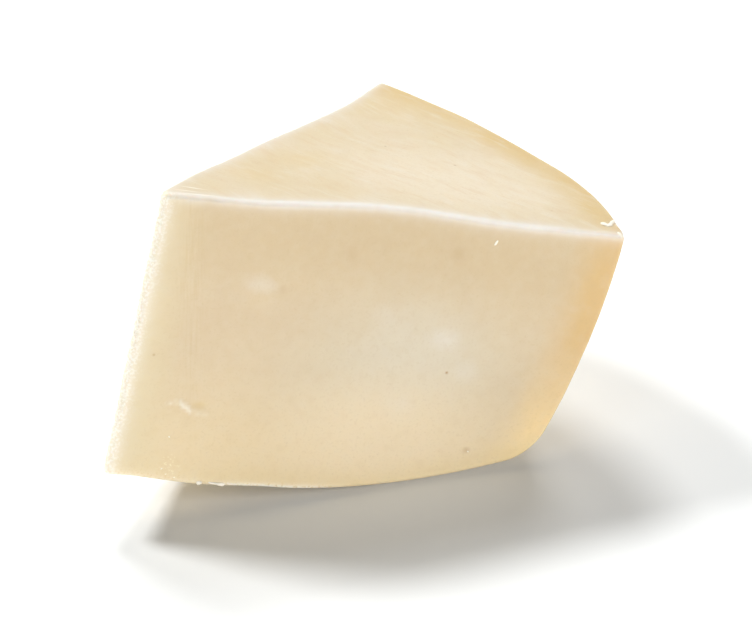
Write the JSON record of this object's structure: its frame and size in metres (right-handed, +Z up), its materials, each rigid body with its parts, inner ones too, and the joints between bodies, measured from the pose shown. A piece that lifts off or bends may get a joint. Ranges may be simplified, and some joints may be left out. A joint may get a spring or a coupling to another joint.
{
  "type": "aged goat cheese wedge",
  "caption": "Wedge of aged goat cheese with two upright knife cuts, a flat cut top and a rounded underside, resting tipped back with its thin tip raised.",
  "frame": {"origin": "on the surface the wedge rests on, below the middle of its bounding box", "axes": "+Z up as it rests; +X level along the long front cut, from the thin tip to the rim; +Y from the front cut into the wedge"},
  "size_m": [0.1156, 0.0814, 0.0767],
  "materials": {
    "cheese_paste": "smooth cut cheese paste, satin and slightly waxy, cream with a warmer orange-yellow tint towards the rim and fine knife streaks"
  },
  "bodies": {
    "root": {"cheese_wedge": "cheese_paste"}
  },
  "joints": []
}
